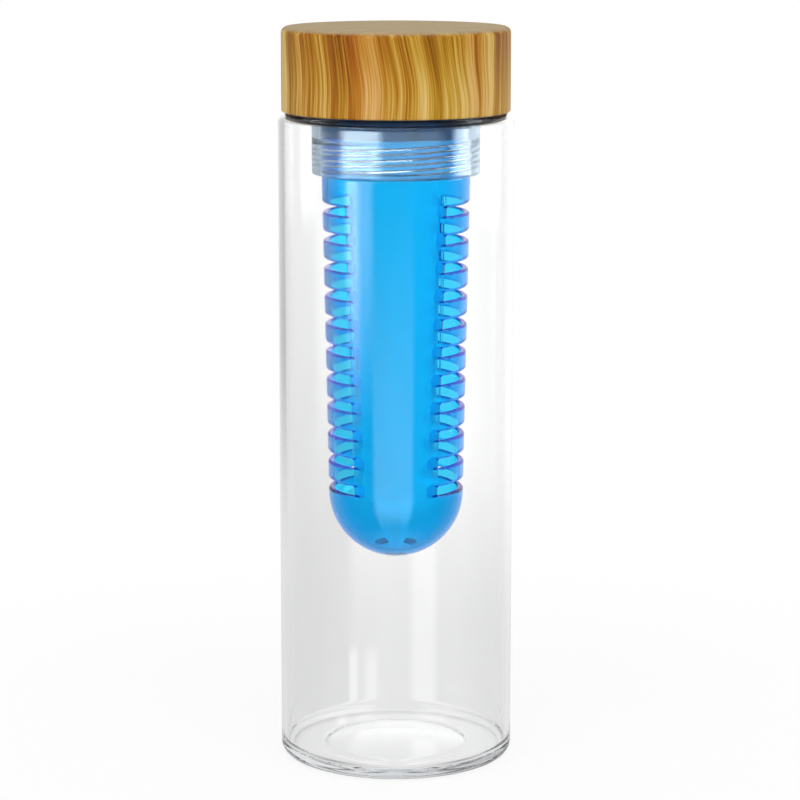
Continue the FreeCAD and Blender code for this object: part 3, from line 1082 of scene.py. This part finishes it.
@dataclass
class FruitBasket:
    """The blue basket: threaded neck, tapered wall, round end, slots and drains."""

    finish: ClearPlastic
    wall: float = 1.9
    draft: float = math.radians(1.1)
    neck_radius: float = 22.3
    neck_height: float = 11.7
    slots: int = 11
    slot_height: float = 4.3
    slot_corner: float = 1.3
    upper_margin: float = 10.1
    lower_margin: float = 2.7
    panel_width: float = 24.6
    drains: int = 3
    drain_circle: float = 6.0
    drain_length: float = 6.0
    drain_width: float = 1.8
    drain_walls: float = 3.0
    slot_edge: float = 0.93
    edge_sweep: int = 70
    edge_step: int = 10
    flare_margin: float = 0.22
    datum: float = 100.0
    rim_corner: float = 0.4
    neck_root: float = 0.2
    thread_margin: float = 0.4
    thread_depth: float = 0.6

    def slot_layers(self) -> list[Point]:
        """Draw the slot's round edges through the wall.

        Returns:
            Each place, from the wall's outside inwards, and the slot's widening there.
        """
        edge = self.slot_edge
        turns = [math.radians(turn) for turn in range(0, self.edge_sweep + 1, self.edge_step)]
        slope = math.tan(turns[-1])
        skin = edge * (1 - math.cos(turns[-1])) + edge * (1 - math.sin(turns[-1])) * slope
        flare = [(edge * (1 - math.sin(turn)), edge * (1 - math.cos(turn)) - skin) for turn in turns]
        flare.append((-self.flare_margin, self.flare_margin * slope))
        outer = [(-depth, widening) for depth, widening in flare[::-1]]
        inner = [(depth - self.wall, widening) for depth, widening in flare]
        return outer + inner

    def slot_outline(self, half_width: float, widening: float, runs: int = 42,
                     turns: int = 10) -> list[Point]:
        """Draw one side of a slot's outline, from end to end of the slot.

        Args:
            half_width: Half the slot's width.
            widening: How far the outline stands off the slot's plain size.
            runs: How many chords the straight run has, for bending.
            turns: How many chords a rounded corner has.

        Returns:
            Places along and above the middle of the slot. The other side is the same, upside down.
        """
        straight, level = half_width - self.slot_corner, self.slot_height / 2 - self.slot_corner
        corner = self.slot_corner + widening
        angles = [math.pi / 2 * turn / turns for turn in range(turns + 1)]
        first = [(-straight - corner * math.cos(angle), level + corner * math.sin(angle)) for angle in angles]
        middle = [(straight * (2 * run / runs - 1), level + corner) for run in range(1, runs)]
        return first + middle + [(-along, up) for along, up in first[::-1]]

    def slot_template(self, half_width: float) -> bpy.types.Object:
        """Make the flat cutter for one slot, flared where it meets both faces of the wall.

        Args:
            half_width: Half the slot's width.

        Returns:
            A closed object, for the slotting tree to copy.
        """
        mesh = bmesh.new()
        sides = []
        for place, widening in self.slot_layers():
            outline = self.slot_outline(half_width, widening)
            sides.append([[mesh.verts.new(((self.datum + place) * MM, along * MM, sign * up * MM))
                           for along, up in outline] for sign in (1, -1)])
        loops = [upper + lower[::-1] for upper, lower in sides]
        for first, second in zip(loops, loops[1:]):
            for index in range(len(first)):
                mesh.faces.new((first[index - 1], first[index], second[index], second[index - 1]))
        for upper, lower in (sides[0], sides[-1]):
            for index in range(1, len(upper)):
                mesh.faces.new((upper[index - 1], upper[index], lower[index], lower[index - 1]))
        bmesh.ops.recalc_face_normals(mesh, faces=mesh.faces)
        data = bpy.data.meshes.new("slot_template")
        mesh.to_mesh(data)
        mesh.free()
        template = bpy.data.objects.new("slot_template", data)
        bpy.context.scene.collection.objects.link(template)
        return template

    def build(self, threads: GeometryGraph, slotting: GeometryGraph) -> None:
        """Make the turned basket, raise its thread, cut its slots and drains, and dress it.

        Args:
            threads: The tree that raises threads.
            slotting: The tree that cuts slots and drains.
        """
        radius, bottom, rim = node_reach("infuser_basket")
        shoulder = rim - self.neck_height
        end_radius = radius - (shoulder - bottom) * math.tan(self.draft)
        dome = end_radius * math.cos(self.draft) / (1 - math.sin(self.draft))
        centre = bottom + dome
        bore = radius - self.wall / math.cos(self.draft)
        outer = dome_corners(dome, centre, self.draft)
        inner = dome_corners(dome - self.wall, centre, self.draft)
        piece = turned_piece("blue_fruit_basket", outer + [
            Corner(radius, shoulder, self.rim_corner),
            Corner(self.neck_radius, shoulder, self.neck_root, THREAD_STEP),
            Corner(self.neck_radius, rim, self.rim_corner),
            Corner(bore, rim, self.rim_corner),
            Corner(bore, shoulder),
        ] + inner[::-1])
        finish = self.finish.material()
        thread = ScrewThread(self.neck_radius, shoulder + self.thread_margin, rim - self.thread_margin,
                             self.thread_depth, Thread.OUTSIDE, NECK_PHASE)
        thread.cut(piece, threads, finish)
        first = shoulder - self.upper_margin
        last = centre + self.lower_margin
        half_width = math.sqrt(dome ** 2 - (self.panel_width / 2) ** 2)
        template = self.slot_template(half_width)
        slotting.run(piece, {
            "Template": template, "Datum": self.datum * MM, "Shoulder Radius": radius * MM,
            "Shoulder Level": shoulder * MM, "Taper": math.tan(self.draft), "Wall": self.wall * MM,
            "First Level": first * MM, "Pitch": (first - last) / (self.slots - 1) * MM,
            "Round Level": centre * MM, "Panel Width": self.panel_width * MM,
            "Drain Circle": self.drain_circle * MM, "Drain Width": self.drain_width * MM,
            "Drain Angle": self.drain_length / self.drain_circle,
            "Drain Low": (bottom - self.wall) * MM,
            "Drain High": (bottom + self.drain_walls * self.wall) * MM,
            "Slots": self.slots, "Drains": self.drains, "Finish": finish})
        bpy.data.objects.remove(template)
        hand_over(piece, "infuser_basket", "infuser")


@dataclass(frozen=True)
class Softbox:
    """A large soft lamp, aimed at the bottle."""

    name: str
    azimuth: float
    elevation: float
    distance: float
    width: float
    height: float
    radiance: float

    def build(self, aim: Vector) -> None:
        """Place the lamp. The azimuth runs round from the camera's side to the right.

        Args:
            aim: The point that the lamp faces.
        """
        data = bpy.data.lights.new(self.name, "AREA")
        data.shape = "RECTANGLE"
        data.size, data.size_y = self.width, self.height
        data.energy = self.radiance * math.pi * self.width * self.height
        lamp = bpy.data.objects.new(self.name, data)
        turn, lift = math.radians(self.azimuth), math.radians(self.elevation)
        lamp.location = aim + self.distance * Vector((
            math.sin(turn) * math.cos(lift), -math.cos(turn) * math.cos(lift), math.sin(lift)))
        lamp.rotation_euler = (aim - lamp.location).to_track_quat("-Z", "Y").to_euler()
        bpy.context.scene.collection.objects.link(lamp)


@dataclass(frozen=True)
class SkyPanel:
    """A soft upright panel in the world, which gloss shows.

    Angles are degrees round from the camera's side. Its lower and upper ends fade between two heights of the
    direction.
    """

    azimuth: float
    half_width: float
    softness: float
    strength: float
    lower: Point
    upper: Point

    def glow(self, graph: NodeGraph, azimuth: Link, up: Link) -> Link:
        """Give the panel's light in a direction.

        Args:
            graph: The world's nodes.
            azimuth: The direction's angle round from the camera's side.
            up: The direction's height.

        Returns:
            The strength that the panel adds there.
        """
        inner = math.radians(self.half_width - self.softness)
        outer = math.radians(self.half_width + self.softness)
        across = 1 - graph.smooth(abs(azimuth - math.radians(self.azimuth)), inner, outer)
        height = graph.smooth(up, *self.lower) * (1 - graph.smooth(up, *self.upper))
        return across * height * self.strength


@dataclass
class Studio:
    """The white floor, the soft light round it and the camera."""

    image_width: int = 800
    focal_pixels: float = 2885.0
    sensor: float = 36.0
    camera_distance: float = 0.890
    camera_pitch: float = math.radians(10.42)
    aim_height: float = 0.113
    axis_pixel: float = 396.0
    floor_reach: float = 30.0
    floor_level: float = -0.0003
    floor_white: float = 0.92
    floor_shadow: float = 0.12
    shadow_reach: float = 0.3
    shadow_core: float = 0.3
    bounces: int = 32
    bounces_through: int = 28
    bounces_off: int = 24
    bounces_past: int = 16
    ambient: float = 0.72
    front_grey: float = 0.9
    front_reach: Point = (-0.3, 0.92)
    front_foot: Point = (-1.0, -0.8)
    front_head: Point = (0.0, 0.15)
    clear_share: float = 0.15
    tinted_share: float = 0.5
    clear_walls: Point = (2.0, 3.0)
    tinted_walls: Point = (4.0, 8.0)
    left_grey: Point = (0.05, 0.23)
    left_fade: Point = (-0.27, -0.06)
    right_grey: float = 0.23
    right_fade: Point = (-0.265, -0.18)
    grey_seam: Point = (-0.038, -0.026)
    seen_white: float = 1.05
    lamps: tuple[Softbox, ...] = (
        Softbox("softbox_left", -30, 48, 1.25, 0.70, 1.5, 1.2),
        Softbox("softbox_right", 30, 48, 1.25, 0.70, 1.5, 1.2),
    )
    flag: SkyPanel = SkyPanel(-132, 34, 7, 0.4, (-0.24, -0.15), (0.3, 0.5))
    panels: tuple[SkyPanel, ...] = (
        SkyPanel(-72, 12, 8, 6.5, (-0.23, -0.155), (-0.125, -0.105)),
        SkyPanel(-57, 19, 8, 4.0, (-0.23, -0.155), (-0.125, -0.105)),
        SkyPanel(-51, 28, 10, 10.0, (-0.112, -0.100), (-0.085, -0.07)),
        SkyPanel(0, 66, 14, 1.6, (-0.112, -0.100), (-0.085, -0.07)),
        SkyPanel(104, 16, 6, 6.0, (-0.125, -0.108), (-0.05, 0.0)),
        SkyPanel(-5, 33, 5, 2.5, (-1.0, -0.45), (-0.26, -0.13)),
    )
    strips: tuple[SkyPanel, ...] = (
        SkyPanel(178.88, 0.51, 0.2, 0.10, (-0.6, -0.5), (-0.235, -0.215)),
        SkyPanel(-178.21, 0.19, 0.1, 0.13, (-0.6, -0.5), (-0.268, -0.262)),
        SkyPanel(-179.03, 0.25, 0.14, 0.08, (-0.6, -0.5), (-0.268, -0.262)),
    )

    def build(self) -> None:
        """Make the floor, the world, the lamps and the camera."""
        scene = bpy.context.scene
        scene.view_settings.view_transform = "Standard"
        scene.cycles.max_bounces = self.bounces
        scene.cycles.transmission_bounces = self.bounces_through
        scene.cycles.glossy_bounces = self.bounces_off
        scene.cycles.transparent_max_bounces = self.bounces_past
        self._floor()
        self._world()
        aim = Vector((0, 0, self.aim_height))
        for lamp in self.lamps:
            lamp.build(aim)
        self._camera(aim)

    @staticmethod
    def _seen(graph: NodeGraph) -> Link:
        """Find the rays that show the background: to the camera, in gloss or through plastic.

        Args:
            graph: The nodes of the floor or the world.

        Returns:
            1 for those rays, else 0.
        """
        path = graph.node("ShaderNodeLightPath")
        shown = graph.math("MAXIMUM", path.out("Is Camera Ray"), path.out("Is Glossy Ray"))
        return graph.math("MAXIMUM", shown, path.out("Is Transmission Ray"))

    def _floor(self) -> None:
        """Lay the floor: white to look at, with the object's shadow on it near the object."""
        reach, level = self.floor_reach, self.floor_level
        data = bpy.data.meshes.new("floor")
        data.from_pydata([(-reach, -reach, level), (reach, -reach, level), (reach, reach, level),
                          (-reach, reach, level)], [], [(0, 1, 2, 3)])
        floor = bpy.data.objects.new("floor", data)
        bpy.context.scene.collection.objects.link(floor)
        graph = ShaderGraph("white_floor")
        away = graph.node("ShaderNodeVectorMath", {"operation": "LENGTH"}, {
            "Vector": graph.place}).out("Value")
        near = 1 - graph.smooth(away, self.shadow_reach * self.shadow_core, self.shadow_reach)
        tone = self.floor_white
        lit = graph.node("ShaderNodeBsdfDiffuse", None, {"Color": (tone, tone, tone, 1.0)})
        white = graph.node("ShaderNodeEmission", None, {"Color": (1.0, 1.0, 1.0, 1.0), "Strength": 1.0})
        shown = graph.node("ShaderNodeMixShader", None, {
            0: self._seen(graph) * (1 - self.floor_shadow * near), 1: lit, 2: white})
        path = graph.node("ShaderNodeLightPath")
        clear = graph.node("ShaderNodeBsdfTransparent")
        through = graph.math("MAXIMUM", path.out("Is Glossy Ray"), path.out("Is Transmission Ray"))
        through = graph.math("MAXIMUM", through, graph.node("ShaderNodeNewGeometry").out("Backfacing"))
        graph.node("ShaderNodeOutputMaterial", None, {
            "Surface": graph.node("ShaderNodeMixShader", None, {0: through, 1: shown, 2: clear})})
        data.materials.append(graph.material)

    def _world(self) -> None:
        """Surround the bottle with soft white, dark on the camera's side and with panels for the gloss.

        A ray that only passes through walls sees little of the dark side and no panels, so that the bottle is
        clear from all sides.
        """
        world = bpy.data.worlds.new("soft_studio")
        world.use_nodes = True
        bpy.context.scene.world = world
        graph = NodeGraph(world.node_tree)
        way = graph.node("ShaderNodeSeparateXYZ", None, {"Vector": graph.node("ShaderNodeTexCoord")})
        along, up = way.out("Y"), way.out("Z")
        azimuth = graph.math("ARCTAN2", way, along * -1)
        level = graph.smooth(up, *self.front_foot) * (1 - graph.smooth(up, *self.front_head))
        front = (1 - graph.smooth(along, *self.front_reach)) * level
        least, more = self.left_grey
        left = least + more * (1 - graph.smooth(up, *self.left_fade))
        right = self.right_grey * (1 - graph.smooth(up, *self.right_fade))
        backdrop = self.seen_white - left - (right - left) * graph.smooth(way, *self.grey_seam)
        path = graph.node("ShaderNodeLightPath")
        walls = path.out("Transmission Depth")
        mirrored = graph.math("MINIMUM", path.out("Glossy Depth"), 1.0)
        through = graph.smooth(walls, *self.clear_walls) * (1 - mirrored)
        tinted = graph.smooth(walls, *self.tinted_walls)
        share = self.clear_share + (self.tinted_share - self.clear_share) * tinted
        dark = 1 - through * (1 - share)
        flag = self.flag.glow(graph, azimuth, up)
        shade = (1 - self.front_grey * front * dark) * (1 - flag * dark) * backdrop
        for panel in self.panels:
            shade = shade + panel.glow(graph, azimuth, up) * (1 - through)
        for strip in self.strips:
            shade = shade + strip.glow(graph, azimuth, up)
        camera = path.out("Is Camera Ray")
        seen = self._seen(graph)
        strength = camera + (1 - camera) * seen * shade + (1 - seen) * self.ambient
        light = graph.node("ShaderNodeBackground", None, {
            "Color": (1.0, 1.0, 1.0, 1.0), "Strength": strength})
        graph.node("ShaderNodeOutputWorld", None, {"Surface": light})

    def _camera(self, aim: Vector) -> None:
        """Stand the camera at the photograph's angle.

        Args:
            aim: The point that it looks at.
        """
        data = bpy.data.cameras.new("camera")
        data.sensor_width = self.sensor
        data.lens = self.focal_pixels / self.image_width * self.sensor
        data.shift_x = (self.image_width / 2 - self.axis_pixel) / self.image_width
        camera = bpy.data.objects.new("camera", data)
        rise = self.camera_distance * math.tan(self.camera_pitch)
        camera.location = aim + Vector((0, -self.camera_distance, rise))
        camera.rotation_euler = (aim - camera.location).to_track_quat("-Z", "Y").to_euler()
        bpy.context.scene.collection.objects.link(camera)
        bpy.context.scene.camera = camera


BOTTLE_PLASTIC = ClearPlastic(
    "clear_bottle_plastic", "clear_body", surface=(0.997, 0.998, 0.999), kept=(0.982, 0.983, 0.984),
    depth=4.0, haze=0.012, smear=0.03, ripple=0.01, index=1.42, gleam=(0.015, 0.015, 0.015))
COLLAR_PLASTIC = ClearPlastic(
    "milky_collar_plastic", "clear_collar", surface=(0.76, 0.90, 1.0), kept=(0.95, 0.98, 0.999),
    depth=2.7, haze=0.03, smear=0.03, ripple=0.01, index=1.5, clearness=0.95, gleam=(0.8, 0.92, 1.0))
# The basket's cut colour is painted shade on the slots' cut faces, and its drain faces get the painted pale
# skin; both stand in for light bending at the edges.
BASKET_PLASTIC = ClearPlastic(
    "azure_basket_plastic", "blue_basket", surface=(0.5, 0.93, 1.0), kept=(0.14, 0.76, 0.999),
    depth=1.9, haze=0.02, smear=0.03, ripple=0.012, index=1.47, gleam=(0.8, 0.8, 0.8),
    cut=(0.05, 0.5, 0.95), inner_haze=0.22)


def main() -> None:
    """Build and dress each sub-assembly, then the studio."""
    logging.basicConfig(level=logging.INFO, format="%(name)s: %(message)s")
    threads = thread_tree()
    ClearBottle(BOTTLE_PLASTIC).build(threads)
    lid = ScrewLid(WoodPrint(), DarkSatin(), COLLAR_PLASTIC)
    lid.build_shell()
    lid.build_liner(threads, rib_tree())
    lid.build_collar(threads)
    MouthSeal(SoftSilicone()).build()
    FruitBasket(BASKET_PLASTIC).build(threads, slot_tree())
    Studio().build()


if __name__ == "__main__":
    main()
